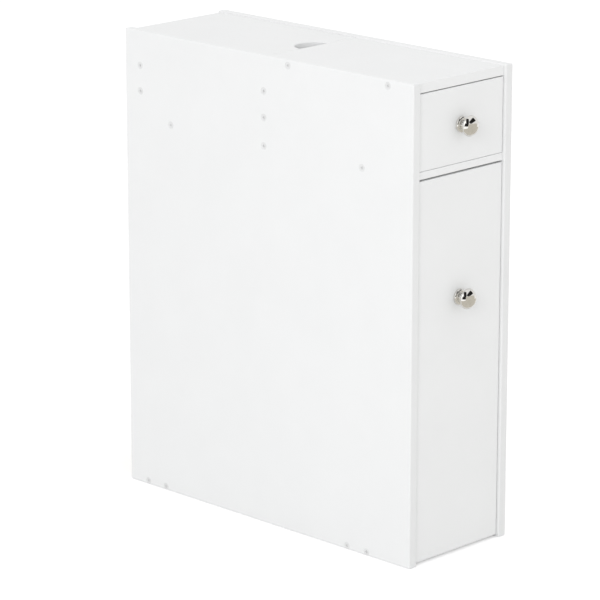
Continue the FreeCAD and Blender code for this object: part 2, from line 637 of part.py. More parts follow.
def make_inner_runner(kind, screw_masters, axle_hole):
    """The box's half of a pair of runners. Returns its screws and their holes."""
    base = f"{kind}_runner_base"
    outside = "runner_space - steel"
    free_edge = "steel + slide_pass_gap"
    top = "sliding_rise + steel"
    profile = padded_body(f"{kind}_profile", "XZ_Plane", [
        (outside, "box_rise"), ("runner_space", "seat_rise"), ("runner_space + seat_flange", "seat_rise"),
        ("runner_space + seat_flange", "box_rise"), ("runner_space", "box_rise"),
        ("runner_space", "sliding_rise"), (outside, top), (free_edge, top), (free_edge, "sliding_rise"),
        (outside, "sliding_rise")],
        f"{kind}_box_length", {0: ("steel", 1), 5: ("steel", 1)}, backwards=True)
    place(profile, "-inner_face", "front_back", base)
    relief = block(f"{kind}_relief",
                   ("slide_pass_gap - inner_face", f"{outside} - slide_pass_gap"),
                   (f"{kind}_box_rear - flange_relief", "flange_relief + overrun"),
                   (f"{base} + sliding_rise - roller_play", "steel + roller_play + overrun"))
    places = []
    for step in range(len(RUNNER_SCREWS[kind])):
        along = f"front_back + runner_screw_offset + {step} * {kind}_runner_pitch"
        places.append((f"{outside} - inner_face", along, f"{base} + axle_rise"))
    screws, holes = in_pairs(f"{kind}_runner_screws", screw_masters, places, ALONG_PLUS_X)
    axle_spot = [("runner_space - inner_face", f"{kind}_rear_roller_y", f"{base} + axle_rise")]
    axle_holes = copies(f"{kind}_inner_axle_hole", axle_hole, axle_spot, ALONG_MINUS_X)
    left_and_right(kind, "inner_runner", cut(f"{kind}_left_inner_runner", profile, relief, holes, axle_holes))
    sub_part(f"{kind}_runner_screws", screws)
    return holes


def make_rollers(roller, axle):
    """The front rollers on the cabinet's runners, the rear rollers on the boxes', and all their axles."""
    front_axles = []
    for kind in ("drawer", "pullout"):
        height = f"{kind}_runner_base + axle_rise"
        front = [("-inner_face", "front_roller_y", height)]
        rear = [("runner_space - inner_face", f"{kind}_rear_roller_y", height)]
        rollers, axles = in_pairs(f"{kind}_front_rollers", (roller, axle), front, ALONG_PLUS_X)
        sub_part(f"{kind}_front_rollers", rollers)
        front_axles.append(axles)
        rollers, axles = in_pairs(f"{kind}_rear_rollers", (roller, axle), rear, ALONG_MINUS_X)
        sub_part(f"{kind}_rear_rollers", rollers)
        sub_part(f"{kind}_rear_roller_axles", axles)
    sub_part("front_roller_axles", group("front_roller_axles", front_axles))


def make_pivots():
    """The lid's pins and their bushes. Returns the holes in the lid and in the side panels."""
    spot = [("-inner_face", "pivot_y", "pivot_z")]
    radius = "pivot_diameter / 2"
    end = "lid_side_gap + pivot_in_lid"
    pin = rod("pivot_pin", radius, "pivot_end_gap - bush_length", end)
    pin_hole = rod("pivot_pin_hole", f"{radius} + seat_fit", "0", f"{end} + seat_fit")
    pins, pin_holes = in_pairs("lid_pivot_pins", (pin, pin_hole), spot, ALONG_PLUS_X)
    sub_part("lid_pivot_pins", pins)
    bore = f"{radius} + pivot_fit"
    bush = turned_body("pivot_bush", [
        (bore, "-bush_length"), ("bush_diameter / 2", "-bush_length"), ("bush_diameter / 2", "0"),
        ("bush_flange_diameter / 2", "0"), ("bush_flange_diameter / 2", "bush_flange"), (bore, "bush_flange")])
    bush_hole = rod("pivot_bush_hole", "bush_diameter / 2 + seat_fit", "-bush_length - seat_fit", "overrun")
    bushes, bush_holes = in_pairs("lid_pivot_bushes", (bush, bush_hole), spot, ALONG_PLUS_X)
    sub_part("lid_pivot_bushes", bushes)
    return pin_holes, bush_holes


def make_lid(pin_holes):
    """The lid, drawn from the middle of its front edge, with its half-moon finger notch."""
    depth = "lid_rear - lid_front"
    blank = padded_body("lid_board", "XY_Plane", [
        ("-lid_half_width", "0"), ("-notch_width / 2", "0"), ("0", "notch_depth"), ("notch_width / 2", "0"),
        ("lid_half_width", "0"), ("lid_half_width", depth), ("-lid_half_width", depth)],
        "top_thickness", {1: ("notch_radius", -1), 2: ("notch_radius", -1)})
    soften(blank, ("+z",))
    place(blank, "0", "lid_front", "top_underside")
    sub_part("lid", cut("lid", blank, pin_holes))


def make_carcass(screw_holes, runner_holes, bush_holes):
    """The side panels and the boards between them."""
    groove_end = "inner_face + panel_groove_depth"
    panel = board("back_panel_board",
                  (f"panel_play - ({groove_end})", f"2 * ({groove_end} - panel_play)"),
                  ("back_board_rear", "panel_thickness"),
                  ("back_panel_lift", "divider_top - back_panel_lift - panel_play"))
    sub_part("back_panel", panel)
    groove = block("back_panel_groove", (f"-({groove_end})", f"2 * ({groove_end})"),
                   ("back_board_rear", "panel_thickness + panel_play"),
                   ("back_panel_lift", "divider_top - back_panel_lift"))
    side = board("left_side_board", ("-carcass_width / 2", "side_thickness"), ("front_plane", "carcass_depth"),
                 ("0", "carcass_height"), ("-x", "-y", "+y", "+z"), "side_rounding")
    left = sub_part("left_side_panel",
                    cut("left_side_panel", side, screw_holes, groove, bush_holes, *runner_holes))
    sub_part("right_side_panel", mirrored("right_side_panel", left))
    bay = ("divider_top", "bay_height")
    floor = ("0", "stretcher_thickness")
    boards = [
        ("fixed_top", ("front_face", "lid_front - seam_gap - front_face"),
         ("top_underside", "top_thickness"), ("-y", "+z")),
        ("partition", ("partition_middle - partition_thickness / 2", "partition_thickness"), bay, ()),
        ("upper_back_board", ("back_board_rear - back_board_thickness", "back_board_thickness"), bay, ()),
        ("divider_shelf", ("front_face", "back_board_rear - front_face"),
         ("divider_underside", "divider_thickness"), ("-y",)),
        ("front_stretcher", ("front_stretcher_middle - stretcher_width / 2", "stretcher_width"), floor, ()),
        ("rear_stretcher", ("rear_stretcher_middle - stretcher_width / 2", "stretcher_width"), floor, ()),
    ]
    for label, depth, height, rounded in boards:
        blank = board(label + "_board", ("-inner_face", "inner_width"), depth, height, rounded)
        sub_part(label, cut(label, blank, screw_holes))


def make_knob(kind, knob, bolt_masters):
    """A knob and its bolt. Returns the bolt's hole."""
    height = f"{kind}_knob_height"
    bolt, bolt_hole = bolt_masters
    hole = copies(f"{kind}_knob_bolt_hole", bolt_hole, [("0", "front_back", height)], ALONG_MINUS_Y)
    blank = copies(f"{kind}_knob_blank", knob, [("0", "front_face", height)], ALONG_MINUS_Y)
    sub_part(f"{kind}_knob", cut(f"{kind}_knob", blank, hole))
    sub_part(f"{kind}_knob_bolt",
             copies(f"{kind}_knob_bolt", bolt, [("0", "front_back", height)], ALONG_MINUS_Y))
    return hole


def make_front_fittings(kind, dowels, bolts, nuts, dowel_places, bolt_places, nut_places):
    """The dowels and cam fittings that tie a box to its front. Returns the holes of all of them."""
    pins, dowel_holes = in_pairs(f"{kind}_dowels", dowels, dowel_places, ALONG_PLUS_Y)
    sub_part(f"{kind}_dowels", pins)
    shanks, bolt_holes = in_pairs(f"{kind}_cam_bolts", bolts, bolt_places, ALONG_PLUS_Y)
    sub_part(f"{kind}_cam_bolts", shanks)
    barrels = []
    holes = [dowel_holes, bolt_holes]
    for number, (turn, places) in enumerate(nut_places, 1):
        barrel, nut_holes = in_pairs(f"{kind}_cam_nuts_{number}", nuts, places, turn)
        barrels.append(barrel)
        holes.append(nut_holes)
    sub_part(f"{kind}_cam_nuts", cut(f"{kind}_cam_nuts", group(f"{kind}_cam_barrels", barrels), bolt_holes))
    return holes


def make_drawer(screws, runner_holes, knob_hole, dowels, bolts, nuts):
    """The drawer: front, two sides, back and a thin bottom let into all four."""
    base = "drawer_box_base"
    cam_height = f"{base} + drawer_side_height - cam_edge"
    fittings = make_front_fittings(
        "drawer", dowels, bolts, nuts,
        [("-box_side_middle", "front_back", f"{base} + dowel_rise")],
        [("-box_side_middle", "front_back", cam_height)],
        [(ALONG_MINUS_X, [("-box_inside", "front_back + cam_setback", cam_height)])])
    places = []
    for step in range(2):
        height = f"{base} + dowel_rise + {step} * drawer_screw_pitch"
        places.append(("-box_half_width", "drawer_box_rear - box_board / 2", height))
    pieces, screw_holes = in_pairs("drawer_screws", screws, places, ALONG_PLUS_X)
    sub_part("drawer_screws", pieces)
    groove_end = "box_inside + panel_groove_depth"
    groove_front = "front_back - panel_groove_depth"
    groove_length = "drawer_box_length - box_board + 2 * panel_groove_depth"
    level = f"{base} + drawer_bottom_rise"
    groove = block("drawer_groove", (f"-({groove_end})", f"2 * ({groove_end})"),
                   (groove_front, groove_length), (level, "panel_thickness + panel_play"))
    sub_part("drawer_bottom", board(
        "drawer_bottom_board", (f"panel_play - ({groove_end})", f"2 * ({groove_end} - panel_play)"),
        (f"{groove_front} + panel_play", f"{groove_length} - 2 * panel_play"), (level, "panel_thickness")))
    front = board("drawer_front_board", ("-front_half_width", "2 * front_half_width"),
                  ("front_face", "front_thickness"), ("drawer_front_base", "drawer_front_height"), ("-y",))
    sub_part("drawer_front", cut("drawer_front", front, groove, knob_hole, *fittings))
    upright = (base, "drawer_side_height")
    side = board("drawer_side_board", ("-box_half_width", "box_board"),
                 ("front_back", "drawer_box_length"), upright, ("+z+x", "+z-x"))
    left_and_right("drawer", "side",
                   cut("drawer_left_side", side, groove, runner_holes, screw_holes, *fittings))
    back = board("drawer_back_board", ("-box_inside", "2 * box_inside"),
                 ("drawer_box_rear - box_board", "box_board"), upright, ("+z+y", "+z-y"))
    sub_part("drawer_back", cut("drawer_back", back, groove, screw_holes))


def make_pullout(screws, runner_holes, knob_hole, dowels, bolts, nuts):
    """The pull-out: front, low sides, bottom, rear board, shelf and guard rails."""
    base = "pullout_box_base"
    shelf = "pullout_shelf_base"
    rail = "pullout_rail_base"
    middle = "box_board / 2"
    spot = "shelf_fixing_place"
    side_cam = f"{base} + pullout_side_height - cam_edge"
    rail_cam = f"{rail} + pullout_rail_height - cam_edge"
    shelf_cam = "cam_edge - box_half_width"
    cam_y = "front_back + cam_setback"
    fittings = make_front_fittings(
        "pullout", dowels, bolts, nuts,
        [("-box_side_middle", "front_back", f"{base} + dowel_rise"),
         ("-box_side_middle", "front_back", f"{rail} + rail_dowel_rise"),
         (f"-{spot}", "front_back", f"{base} + {middle}"), (f"-{spot}", "front_back", f"{shelf} + {middle}")],
        [("-box_side_middle", "front_back", side_cam), ("-box_side_middle", "front_back", rail_cam),
         (shelf_cam, "front_back", f"{shelf} + {middle}")],
        [(ALONG_MINUS_X, [("-box_inside", cam_y, side_cam), ("-box_inside", cam_y, rail_cam)]),
         (NO_TURN, [(shelf_cam, cam_y, shelf)])])
    rear = "pullout_box_rear + box_board"
    from_rear = [(f"-{spot}", rear, f"{level} + {middle}") for level in (base, shelf)]
    from_rear.append(("-box_side_middle", rear, f"{rail} + pullout_rail_height / 2"))
    for sign in "-+":
        from_rear.append(("-box_side_middle", rear, f"{base} + (pullout_side_height {sign} fixing_pitch) / 2"))
    along = [f"front_back + long_fixing_front + {step} * long_fixing_pitch" for step in range(2)]
    from_side = [("-box_half_width", y, f"{base} + {middle}") for y in along]
    from_below = [("-box_side_middle", y, shelf) for y in along]
    pieces = []
    holes = []
    for name, places, turn in (("rear", from_rear, ALONG_MINUS_Y), ("side", from_side, ALONG_PLUS_X),
                               ("shelf", from_below, NO_TURN)):
        driven, driven_holes = in_pairs(f"pullout_{name}_screws", screws, places, turn)
        pieces.append(driven)
        holes.append(driven_holes)
    sub_part("pullout_screws", group("pullout_screws", pieces))
    holes += fittings
    length = ("front_back", "pullout_box_length")
    across = ("-box_half_width", "2 * box_half_width")
    front = board("pullout_front_board", ("-front_half_width", "2 * front_half_width"),
                  ("front_face", "front_thickness"),
                  ("pullout_front_floor_gap", "pullout_front_top - pullout_front_floor_gap"), ("-y",))
    sub_part("pullout_front", cut("pullout_front", front, knob_hole, *fittings))
    side = board("pullout_side_board", ("-box_half_width", "box_board"), length,
                 (base, "pullout_side_height"), ("+z+x", "+z-x"))
    left_and_right("pullout", "side", cut("pullout_left_side", side, runner_holes, *holes))
    guard = board("pullout_rail_board", ("-box_half_width", "box_board"), length,
                  (rail, "pullout_rail_height"), ("+z+x", "+z-x"))
    left_and_right("pullout", "rail", cut("pullout_left_rail", guard, *holes))
    bottom = board("pullout_bottom_board", ("-box_inside", "2 * box_inside"), length, (base, "box_board"))
    sub_part("pullout_bottom", cut("pullout_bottom", bottom, *holes))
    shelf_board = board("pullout_shelf_board", across, length, (shelf, "box_board"))
    sub_part("pullout_shelf", cut("pullout_shelf", shelf_board, *holes))
    back = board("pullout_back_board", across, ("pullout_box_rear", "box_board"),
                 (base, "pullout_back_height"), ("+z+y", "+z-y"))
    sub_part("pullout_back", cut("pullout_back", back, *holes))


def make_cabinet():
    board_screws = countersunk_screw()
    runner_screws = pan_head_screw("runner_screw")
    bolt_masters = pan_head_screw("knob_bolt")
    knob = knob_master()
    roller, axle, axle_hole = roller_masters()
    fittings = (dowel(), cam_bolt(), cam_nut())
    screw_holes = make_carcass_screws(board_screws)
    outer_screws = []
    outer_holes = []
    box_holes = {}
    for kind in ("drawer", "pullout"):
        pieces, holes = make_outer_runner(kind, runner_screws, axle_hole)
        outer_screws.append(pieces)
        outer_holes.append(holes)
        box_holes[kind] = make_inner_runner(kind, runner_screws, axle_hole)
    sub_part("outer_runner_screws", group("outer_runner_screws", outer_screws))
    make_rollers(roller, axle)
    pin_holes, bush_holes = make_pivots()
    make_carcass(screw_holes, outer_holes, bush_holes)
    make_lid(pin_holes)
    make_drawer(board_screws, box_holes["drawer"], make_knob("drawer", knob, bolt_masters), *fittings)
    make_pullout(board_screws, box_holes["pullout"], make_knob("pullout", knob, bolt_masters), *fittings)


def check_and_export():
    doc.removeObject(workings.Name)
    doc.recompute()
    for item in doc.Objects:
        if "Invalid" in item.State or "Error" in item.State:
            raise RuntimeError(item.Label + " did not build")
    for item in SUB_PARTS:
        if item.Shape.isNull() or not item.Shape.isValid():
            raise RuntimeError(item.Label + " has no valid shape")
    os.makedirs("parts", exist_ok=True)
    for item in SUB_PARTS:
        item.Shape.exportStep(f"parts/{item.Label}.step")


fill_sheet()
make_cabinet()
check_and_export()
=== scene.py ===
import json
import math

import bmesh
import bpy
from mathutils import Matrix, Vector


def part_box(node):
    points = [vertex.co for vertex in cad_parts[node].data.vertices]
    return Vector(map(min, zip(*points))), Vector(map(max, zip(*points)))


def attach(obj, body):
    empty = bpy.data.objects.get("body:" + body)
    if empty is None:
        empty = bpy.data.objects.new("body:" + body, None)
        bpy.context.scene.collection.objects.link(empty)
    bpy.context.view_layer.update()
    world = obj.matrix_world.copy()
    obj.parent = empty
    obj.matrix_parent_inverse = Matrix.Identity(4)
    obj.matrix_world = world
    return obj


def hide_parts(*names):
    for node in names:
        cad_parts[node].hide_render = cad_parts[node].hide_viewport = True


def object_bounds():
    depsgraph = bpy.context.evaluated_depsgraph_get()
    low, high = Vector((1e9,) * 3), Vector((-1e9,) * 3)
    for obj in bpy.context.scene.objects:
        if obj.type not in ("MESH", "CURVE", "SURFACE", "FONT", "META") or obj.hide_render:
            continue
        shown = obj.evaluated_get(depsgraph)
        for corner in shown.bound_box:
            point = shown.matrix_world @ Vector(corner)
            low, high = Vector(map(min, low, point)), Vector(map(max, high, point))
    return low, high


# The looks of a narrow bathroom cabinet, in metres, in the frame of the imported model.
# The cabinet's front looks along -Y and the camera stands in front of it to the left.

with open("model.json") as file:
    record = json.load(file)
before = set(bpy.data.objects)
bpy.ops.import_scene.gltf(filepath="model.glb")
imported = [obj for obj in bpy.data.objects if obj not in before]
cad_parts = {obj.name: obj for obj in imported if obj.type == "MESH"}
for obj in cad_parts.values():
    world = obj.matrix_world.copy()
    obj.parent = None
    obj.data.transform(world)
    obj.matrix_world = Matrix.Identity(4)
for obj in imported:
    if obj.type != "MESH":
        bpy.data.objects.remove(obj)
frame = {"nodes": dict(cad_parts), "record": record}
CAD_LOW, CAD_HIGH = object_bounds()
SLOT_OF = {row["node"]: row["material_slot"] for row in frame["record"]["subparts"]}
BODY_OF = {node: body for body, nodes in frame["record"]["behaviour"]["bodies"].items() for node in nodes}
KNOB_KINDS = ("drawer", "pullout")
# Boards with painted shade: a greyer tone on the forward-looking faces of their front edge
EDGE_SHADED_BOARDS = ("left_side_panel", "right_side_panel")
MM = 0.001

# Camera, fitted to the cabinet's corners in the photograph
VIEW_AZIMUTH = math.radians(-45.454)
VIEW_ELEVATION = math.radians(15.569)
VIEW_DISTANCE = 4.124
VIEW_TARGET = Vector((-0.024, 0.010, 0.2693))
LENS_MM = 204.3
SENSOR_MM = 36

# Light
ROOM_LIGHT = 0.92
KEY_PLACE = Vector((-2.9, -1.82, 1.67))
KEY_SIZE = 1.4
KEY_POWER = 28
# Flat studio panels, shown in reflections only. In degrees: the azimuth and elevation of the middle,
# half the width and half the height. The last number is the panel's brightness.
STUDIO_PANELS = [
    (-50, 43, 12, 38, 0.02), (-62, 15, 15, 14, 0.02), (27, 48, 40, 14, 0.02), (-92, 30, 14, 20, 1.9)]
PANEL_SOFTNESS = 0.12

# Warm grey card in front of the cabinet, shown in reflections only: the Y of its near edge and of its
# upright part, the X of its left and right edge, and its heights over the floor
CARD_START = -0.235
CARD_BACK = -1.5
CARD_SIDES = (-1.2, 2.2)
CARD_LIFT = 0.002
CARD_BEND = 0.2
CARD_TOP = 1.12
CARD_HIDDEN_FROM = ("camera", "diffuse", "transmission", "volume_scatter", "shadow")

# Floor: half its width, and the glow that makes it show white
FLOOR_REACH = 30
FLOOR_LIFT = 0.35

# Colours. A pair holds the darker and the lighter tone of a surface's blotches or grain.
WHITE = (1, 1, 1)
BOARD_TONES = ((0.855, 0.861, 0.862), (0.867, 0.873, 0.874))
# Painted shade for the side panels' forward-looking front edges: the same white board, a little greyer
EDGE_SHADE_TONES = ((0.81, 0.816, 0.817), (0.826, 0.832, 0.833))
PANEL_TONES = ((0.835, 0.84, 0.835), (0.855, 0.86, 0.855))
RAW_FIBRE_TONES = ((0.26, 0.16, 0.09), (0.42, 0.28, 0.17))
COAT_TONES = ((0.84, 0.84, 0.825), (0.87, 0.87, 0.86))
NYLON_TONES = ((0.78, 0.78, 0.75), (0.84, 0.84, 0.82))
LACQUER_TONES = ((0.76, 0.765, 0.765), (0.8, 0.805, 0.805))
CHIP_TONE = (0.5, 0.5, 0.5)
BEECH_TONES = ((0.6, 0.42, 0.25), (0.76, 0.58, 0.38))
BEECH_RAY_TONE = (0.45, 0.28, 0.15)
CHROME_TONES = ((0.7, 0.685, 0.655), (0.76, 0.745, 0.715))
CARD_TONES = ((0.645, 0.613, 0.543), (0.72, 0.688, 0.618))
FLOOR_TONES = ((0.8,) * 3, (0.81,) * 3)
# Metals: the marks' dark and light grey, their size and stretch, and the roughness of the smoothest ones
METALS = {
    "screw_steel": (0.55, 0.68, 1.5 * MM, (1, 1, 1), 0.26),
    "axle_steel": (0.5, 0.64, 0.5 * MM, (0.2, 1, 1), 0.22),
    "cam_metal": (0.5, 0.66, 0.8 * MM, (1, 1, 1), 0.38),
}
METAL_ROUGHNESS_SPAN = 0.14
METAL_DARK_BLUE = 1.01
# Where most of a noise's values lie
NOISE_LOW = 0.3
NOISE_HIGH = 0.7
# The least share of a face's normal along a direction, for the face to look that way
LOOKS_FORWARDS = 0.7
LOOKS_ALONG = 0.5

# Turned knob: radii as shares of its widest radius, reaches as shares of its whole projection
FOOT_RADIUS_SHARE = 0.78
FOOT_REACH_SHARE = 0.18
FOOT_EDGE_SHARE = 0.04
FOOT_CROWN_SHARE = 0.5
NECK_RADIUS_SHARE = 0.36
NECK_REACH_SHARE = 0.29
RIM_SHARE = 0.985
RIM_BACK_SHARE = 0.555
RIM_FRONT_SHARE = 0.625
# How far the round stretches stand off their chords, as shares of the chords
FULL_ROUND = 0.2
RIM_ROUND = 0.11
CROWN_ROUND = 0.14
BOLT_BORE_RADIUS = 2.05 * MM
ON_AXIS = 0.01 * MM
SHARP_ANGLE = math.radians(35)
KNOB_TURN_STEPS = 128
ARC_STEPS = 14


class Nodes:
    """Short calls for building one material's or the world's node tree."""

    def __init__(self, tree):
        self.tree = tree
        tree.nodes.clear()

    def add(self, kind, inputs=None, **settings):
        node = self.tree.nodes.new(kind)
        for name, setting in settings.items():
            setattr(node, name, setting)
        for key, source in (inputs or {}).items():
            if isinstance(source, bpy.types.NodeSocket):
                self.tree.links.new(source, node.inputs[key])
            else:
                node.inputs[key].default_value = source
        return node

    def place(self, scale):
        """Each object's own coordinates in metres, stretched by scale."""
        spot = self.add("ShaderNodeTexCoord").outputs["Object"]
        return self.add("ShaderNodeMapping", {"Vector": spot, "Scale": scale}).outputs["Vector"]

    def normal(self):
        """The shares of the surface's normal along the object's own axes."""
        normal = self.add("ShaderNodeTexCoord").outputs["Normal"]
        return self.add("ShaderNodeSeparateXYZ", {"Vector": normal}).outputs

    def noise(self, size, detail=3, stretch=(1, 1, 1)):
        """Noise whose blotches are about size metres across, from 0 to 1."""
        scale = [part / size for part in stretch]
        inputs = {"Vector": self.place(scale), "Scale": 1.0, "Detail": detail}
        return self.add("ShaderNodeTexNoise", inputs).outputs["Fac"]

    def carry(self, factor, low, high, start=0, end=1):
        """The range from start to end, carried to the range from low to high."""
        inputs = {"Value": factor, "From Min": start, "From Max": end, "To Min": low, "To Max": high}
        return self.add("ShaderNodeMapRange", inputs).outputs["Result"]

    def blotches(self, size, detail=3, stretch=(1, 1, 1), start=NOISE_LOW):
        """Noise that is 0 up to start and reaches 1 at the noise's upper values."""
        return self.carry(self.noise(size, detail, stretch), 0, 1, start, NOISE_HIGH)

    def uneven(self, size, low, high):
        """A value that wanders between low and high over about size metres."""
        return self.carry(self.noise(size), low, high, NOISE_LOW, NOISE_HIGH)

    def blend(self, factor, first, second):
        node = self.add("ShaderNodeMix", data_type="RGBA")
        self.tree.links.new(factor, node.inputs["Factor"])
        for name, colour in (("A", first), ("B", second)):
            socket = [item for item in node.inputs if item.name == name and item.type == "RGBA"][0]
            if isinstance(colour, bpy.types.NodeSocket):
                self.tree.links.new(colour, socket)
            else:
                socket.default_value = (*colour, 1)
        return [item for item in node.outputs if item.type == "RGBA"][0]

    def maths(self, operation, first, second=0.0):
        return self.add("ShaderNodeMath", {0: first, 1: second}, operation=operation).outputs[0]

    def bump(self, height, depth, strength=0.5):
        """A surface relief depth metres deep."""
        inputs = {"Height": height, "Distance": depth, "Strength": strength}
        return self.add("ShaderNodeBump", inputs).outputs["Normal"]

    def principled(self, **inputs):
        named = {name.replace("_", " "): source for name, source in inputs.items()}
        return self.add("ShaderNodeBsdfPrincipled", named).outputs["BSDF"]


def material(name):
    """A new material and its node helper."""
    made = bpy.data.materials.new(name)
    made.use_nodes = True
    return made, Nodes(made.node_tree)


def finish_with(made, nodes, shader):
    nodes.add("ShaderNodeOutputMaterial", {"Surface": shader})
    return made


def coated_board(name, edge_shaded=False):
    """White melamine: faint blotches, and the fine pearl texture of a press plate.

    With the flag set, the forward-looking faces along the board's front edge get painted shade, a slightly
    greyer tone.
    """
    made, n = material(name)
    tone = n.blotches(60 * MM, detail=2)
    colour = n.blend(tone, *BOARD_TONES)
    if edge_shaded:
        # Painted shade: faces that look forwards take the greyer tone
        in_front = n.maths("LESS_THAN", n.normal()["Y"], -LOOKS_FORWARDS)
        colour = n.blend(in_front, colour, n.blend(tone, *EDGE_SHADE_TONES))
    pearl = n.noise(0.9 * MM, detail=2)
    shader = n.principled(
        Base_Color=colour, Roughness=n.uneven(4 * MM, low=0.38, high=0.46),
        Normal=n.bump(pearl, depth=0.02 * MM), Specular_IOR_Level=0.4)
    return finish_with(made, n, shader)


def thin_panel():
    """Thin fibreboard: white in front or on top, and raw brown behind, below and on its side edges."""
    made, n = material("thin_panel")
    axes = n.normal()
    backwards = n.maths("SUBTRACT", axes["Y"], axes["Z"])
    raw = n.maths("GREATER_THAN", n.maths("ABSOLUTE", axes["X"]), LOOKS_ALONG)
    raw = n.maths("MAXIMUM", raw, n.maths("GREATER_THAN", backwards, LOOKS_ALONG))
    fibre = n.blotches(1.2 * MM, detail=6, stretch=(1, 1, 3))
    brown = n.blend(fibre, *RAW_FIBRE_TONES)
    white = n.blend(n.blotches(50 * MM, detail=2), *PANEL_TONES)
    shader = n.principled(
        Base_Color=n.blend(raw, white, brown), Roughness=n.carry(raw, low=0.45, high=0.85),
        Normal=n.bump(fibre, depth=0.05 * MM, strength=0.4), Specular_IOR_Level=0.35)
    return finish_with(made, n, shader)


def powder_coat():
    """The runners' white epoxy powder coat, with its slight orange peel."""
    made, n = material("runner_steel")
    peel = n.noise(2.6 * MM, detail=1)
    shader = n.principled(
        Base_Color=n.blend(n.blotches(15 * MM, detail=2), *COAT_TONES),
        Roughness=n.uneven(8 * MM, low=0.28, high=0.33),
        Normal=n.bump(peel, depth=0.012 * MM, strength=0.1), Coat_Weight=0.2, Coat_Roughness=0.2)
    return finish_with(made, n, shader)


def nylon():
    """Moulded nylon, a little translucent and rubbed along its running face."""
    made, n = material("white_nylon")
    rub = n.blotches(2.5 * MM, detail=4, stretch=(6, 1, 1))
    shader = n.principled(
        Base_Color=n.blend(rub, *NYLON_TONES), Roughness=n.carry(rub, low=0.35, high=0.5),
        Normal=n.bump(rub, depth=0.02 * MM), Subsurface_Weight=0.15, Subsurface_Scale=1.5 * MM)
    return finish_with(made, n, shader)


def lacquered_screw():
    """The white lacquered heads in the side panels, slightly greyer than the board, with small chips."""
    made, n = material("white_screw")
    chips = n.blotches(0.7 * MM, detail=5, start=0.62)
    tone = n.blotches(3 * MM, detail=2)
    lacquer = n.blend(tone, *LACQUER_TONES)
    shader = n.principled(
        Base_Color=n.blend(chips, lacquer, CHIP_TONE), Roughness=n.carry(tone, low=0.35, high=0.45),
        Normal=n.bump(n.noise(0.5 * MM), depth=0.02 * MM))
    return finish_with(made, n, shader)


def plated_steel(name, dark, light, grain, stretch, rough):
    """Bare or plated metal with fine drawn or cast marks. Dark and light are its grey tones."""
    made, n = material(name)
    marks = n.blotches(grain, detail=4, stretch=stretch)
    shader = n.principled(
        Base_Color=n.blend(marks, (dark, dark, dark * METAL_DARK_BLUE), (light,) * 3), Metallic=1.0,
        Roughness=n.carry(marks, rough, rough + METAL_ROUGHNESS_SPAN), Normal=n.bump(marks, depth=0.01 * MM))
    return finish_with(made, n, shader)


def dowel_wood():
    """Beech, with its grain along the dowel and short dark rays across it."""
    made, n = material("dowel_wood")
    grain = n.blotches(1.5 * MM, detail=5, stretch=(1, 0.08, 1))
    rays = n.blotches(0.6 * MM, detail=2, stretch=(1, 0.3, 1), start=0.6)
    wood = n.blend(grain, *BEECH_TONES)
    shader = n.principled(
        Base_Color=n.blend(rays, wood, BEECH_RAY_TONE), Roughness=n.carry(grain, low=0.55, high=0.7),
        Normal=n.bump(grain, depth=0.04 * MM))
    return finish_with(made, n, shader)


def chrome():
    """Polished chrome with the faintest haze."""
    made, n = material("knob_chrome")
    haze = n.blotches(5 * MM)
    shader = n.principled(
        Base_Color=n.blend(haze, *CHROME_TONES), Metallic=1.0, Roughness=n.carry(haze, low=0.03, high=0.07))
    return finish_with(made, n, shader)


def all_materials():
    materials = {
        "white_board": coated_board("white_board"),
        "edge_shaded_board": coated_board("edge_shaded_board", edge_shaded=True),
        "thin_panel": thin_panel(),
        "runner_steel": powder_coat(),
        "white_nylon": nylon(),
        "white_screw": lacquered_screw(),
        "dowel_wood": dowel_wood(),
        "knob_chrome": chrome(),
    }
    for name, traits in METALS.items():
        materials[name] = plated_steel(name, *traits)
    return materials


def dress_nodes(materials):
    for name, node in frame["nodes"].items():
        # The side panels take the board with painted shade on their front edges
        finish = "edge_shaded_board" if name in EDGE_SHADED_BOARDS else SLOT_OF[name]
        node.data.materials.clear()
        node.data.materials.append(materials[finish])


def add_object(name, data):
    made = bpy.data.objects.new(name, data)
    bpy.context.scene.collection.objects.link(made)
    return made


def add_surface(name, points, faces):
    data = bpy.data.meshes.new(name)
    data.from_pydata(points, [], faces)
    return add_object(name, data)


def heading(azimuth, elevation):
    """The direction at these angles. Azimuth 0 lies in front of the cabinet."""
    level = math.cos(elevation)
    return Vector((math.sin(azimuth) * level, -math.cos(azimuth) * level, math.sin(elevation)))


def aim(thing, direction):
    """Turns a camera or a lamp to look along a direction."""
    thing.rotation_euler = direction.to_track_quat("-Z", "Y").to_euler()


def arc(start, end, bulge):
    """Points after start along an arc to end. It stands bulge of the chord's length off it, to its left."""
    chord = end - start
    side = Vector((-chord.y, chord.x))
    half_angle = 2 * math.atan(2 * bulge)
    centre = (start + end) / 2 - side / (2 * math.tan(half_angle))
    spoke = start - centre
    points = []
    for step in range(1, ARC_STEPS + 1):
        turn = -2 * half_angle * step / ARC_STEPS
        points.append(centre + Vector((
            spoke.x * math.cos(turn) - spoke.y * math.sin(turn),
            spoke.x * math.sin(turn) + spoke.y * math.cos(turn))))
    return points


